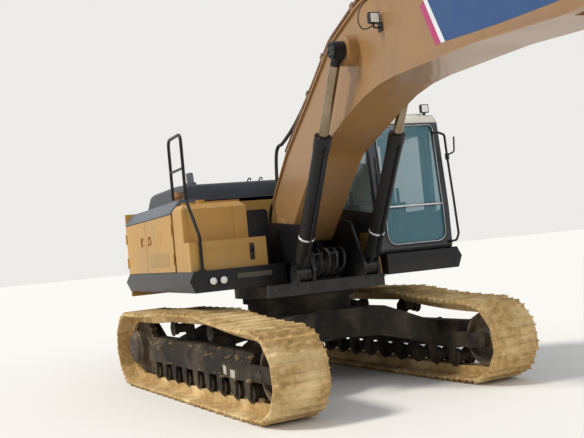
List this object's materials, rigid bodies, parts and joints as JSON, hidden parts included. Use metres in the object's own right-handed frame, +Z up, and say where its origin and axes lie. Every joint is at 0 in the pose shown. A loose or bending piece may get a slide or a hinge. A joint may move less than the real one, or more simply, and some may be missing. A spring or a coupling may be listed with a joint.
{
  "type": "crawler excavator",
  "caption": "Crawler excavator with swinging upper structure, hollow cab, opening doors and hood, boom, arm and bucket moved by coupled hydraulic cylinders.",
  "frame": {"origin": "on the ground under the centre of the swing ring", "axes": "+X forward along the boom, +Y to the operator's left, +Z up"},
  "size_m": [12.6437, 3.5875, 4.3119],
  "materials": {
    "ochre_paint": "dusty satin paint",
    "muddy_steel": "dried mud over steel",
    "dark_iron": "weathered",
    "black_paint": "satin",
    "grey_paint": "satin",
    "cream_paint": "satin",
    "chromed_rod": "polished",
    "cab_glass": "clear, slightly green",
    "seat_fabric": "woven",
    "console_plastic": "grained",
    "worn_steel": "worn by soil"
  },
  "bodies": {
    "undercarriage": {"centre_frame": "muddy_steel", "track_frame_left": "muddy_steel", "track_frame_right": "muddy_steel", "track_left": "muddy_steel", "track_right": "muddy_steel", "idler_left": "dark_iron", "idler_right": "dark_iron", "sprocket_left": "dark_iron", "sprocket_right": "dark_iron", "rollers_left": "muddy_steel", "rollers_right": "muddy_steel", "swing_ring_inner": "dark_iron"},
    "upper": {"swing_ring_outer": "dark_iron", "upper_frame": "black_paint", "deck_right": "black_paint", "deck_left": "black_paint", "counterweight": "ochre_paint", "house_frame": "ochre_paint", "house_covers": "grey_paint", "engine": "dark_iron", "fuel_tank": "ochre_paint", "tool_box": "ochre_paint", "control_valve": "dark_iron", "hydraulic_lines": "black_paint", "cab_shell": "black_paint", "cab_roof": "cream_paint", "cab_guard": "ochre_paint", "cab_glass": "cab_glass", "seat": "seat_fabric", "console": "console_plastic", "handrails": "black_paint", "air_intake": "black_paint", "work_lamps": "black_paint", "side_panel_left": "ochre_paint"},
    "boom": {"boom": "ochre_paint", "arm_cylinder_bracket": "ochre_paint", "boom_pipes": "dark_iron", "boom_lamp": "black_paint"},
    "boom_barrels": {"boom_cylinder_barrels": "black_paint"},
    "boom_rods": {"boom_cylinder_rods": "chromed_rod", "boom_rod_eyes": "black_paint"},
    "arm_barrel": {"arm_cylinder_barrel": "ochre_paint"},
    "arm_rod": {"arm_cylinder_rod": "chromed_rod"},
    "arm": {"arm": "ochre_paint"},
    "bucket_barrel": {"bucket_cylinder_barrel": "ochre_paint"},
    "bucket_rod": {"bucket_cylinder_rod": "chromed_rod"},
    "rocker": {"rocker": "ochre_paint"},
    "link": {"link": "ochre_paint"},
    "bucket": {"bucket": "worn_steel"},
    "cab_door": {"cab_door": "black_paint", "cab_door_glass": "cab_glass"},
    "side_door_front_right": {"side_door_front_right": "ochre_paint"},
    "side_door_rear_right": {"side_door_rear_right": "ochre_paint"},
    "side_door_left": {"side_door_left": "ochre_paint"},
    "engine_hood": {"engine_hood": "dark_iron", "exhaust": "grey_paint"},
    "tool_box_lid": {"tool_box_lid": "ochre_paint"}
  },
  "joints": [
    {"name": "swing", "type": "hinge", "parent": "undercarriage", "child": "upper", "pos_m": [0, 0, 0], "axis": [0, 0, 1], "continuous": true},
    {"name": "boom_lift", "type": "hinge", "parent": "upper", "child": "boom", "pos_m": [0.33, 0, 1.88], "axis": [0, -1, 0], "range_deg": [-38, 48]},
    {"name": "boom_cylinder_swing", "type": "hinge", "parent": "upper", "child": "boom_barrels", "pos_m": [1.15, 0, 1.38], "axis": [0, -1, 0], "range_deg": [-37.41, 47.24]},
    {"name": "boom_cylinder_stroke", "type": "slide", "parent": "boom_barrels", "child": "boom_rods", "axis": [0.5502, 0, 0.835], "range_m": [-0.5826, 0.7358]},
    {"name": "arm_swing", "type": "hinge", "parent": "boom", "child": "arm", "pos_m": [6.5, 0, 3.2], "axis": [0, 1, 0], "range_deg": [-31, 82]},
    {"name": "arm_cylinder_swing", "type": "hinge", "parent": "boom", "child": "arm_barrel", "pos_m": [3.05, 0, 4.2], "axis": [0, 1, 0], "range_deg": [-3.88, 1.5]},
    {"name": "arm_cylinder_stroke", "type": "slide", "parent": "arm_barrel", "child": "arm_rod", "axis": [0.9957, 0, -0.0926], "range_m": [-0.3724, 0.9841]},
    {"name": "bucket_curl", "type": "hinge", "parent": "arm", "child": "bucket", "pos_m": [8.65749, 0, 1.1881], "axis": [0, 1, 0], "range_deg": [-136, 41]},
    {"name": "rocker_swing", "type": "hinge", "parent": "arm", "child": "rocker", "pos_m": [8.36195, 0, 1.6483], "axis": [0, 1, 0], "range_deg": [-90.49, 27.32]},
    {"name": "link_swing", "type": "hinge", "parent": "bucket", "child": "link", "pos_m": [9.03574, 0, 0.89259], "axis": [0, 1, 0], "range_deg": [-30.97, 102.61]},
    {"name": "bucket_cylinder_swing", "type": "hinge", "parent": "arm", "child": "bucket_barrel", "pos_m": [6.77657, 0, 3.78984], "axis": [0, 1, 0], "range_deg": [-7.16, 2.19]},
    {"name": "bucket_cylinder_stroke", "type": "slide", "parent": "bucket_barrel", "child": "bucket_rod", "axis": [0.7326, 0, -0.6806], "range_m": [-0.973, 0.2937]},
    {"name": "cab_door_hinge", "type": "hinge", "parent": "upper", "child": "cab_door", "pos_m": [-0.0625, 1.503, 2.3], "axis": [0, 0, 1], "range_deg": [0, 170]},
    {"name": "side_door_front_right_hinge", "type": "hinge", "parent": "upper", "child": "side_door_front_right", "pos_m": [-0.084, -1.513, 1.85], "axis": [0, 0, 1], "range_deg": [0, 100]},
    {"name": "side_door_rear_right_hinge", "type": "hinge", "parent": "upper", "child": "side_door_rear_right", "pos_m": [-2.618, -1.513, 1.85], "axis": [0, 0, -1], "range_deg": [0, 90]},
    {"name": "side_door_left_hinge", "type": "hinge", "parent": "upper", "child": "side_door_left", "pos_m": [-1.444, 1.513, 1.85], "axis": [0, 0, -1], "range_deg": [0, 90]},
    {"name": "engine_hood_hinge", "type": "hinge", "parent": "upper", "child": "engine_hood", "pos_m": [-2.581, 0, 2.395], "axis": [0, -1, 0], "range_deg": [0, 60]},
    {"name": "tool_box_lid_hinge", "type": "hinge", "parent": "upper", "child": "tool_box_lid", "pos_m": [0.36, -1.045, 1.84], "axis": [0, -1, 0], "range_deg": [0, 80]}
  ],
  "couplings": [
    {"joint": "boom_cylinder_swing", "follows": "boom_lift", "ratio": 0.9832},
    {"joint": "boom_cylinder_stroke", "follows": "boom_lift", "m_per_rad": 0.8777},
    {"joint": "arm_cylinder_swing", "follows": "arm_swing", "ratio": -0.0467},
    {"joint": "arm_cylinder_stroke", "follows": "arm_swing", "m_per_rad": 0.6873},
    {"joint": "rocker_swing", "follows": "bucket_curl", "ratio": 0.665},
    {"joint": "link_swing", "follows": "bucket_curl", "ratio": -0.7541},
    {"joint": "bucket_cylinder_swing", "follows": "bucket_curl", "ratio": 0.0523},
    {"joint": "bucket_cylinder_stroke", "follows": "bucket_curl", "m_per_rad": 0.4097}
  ]
}
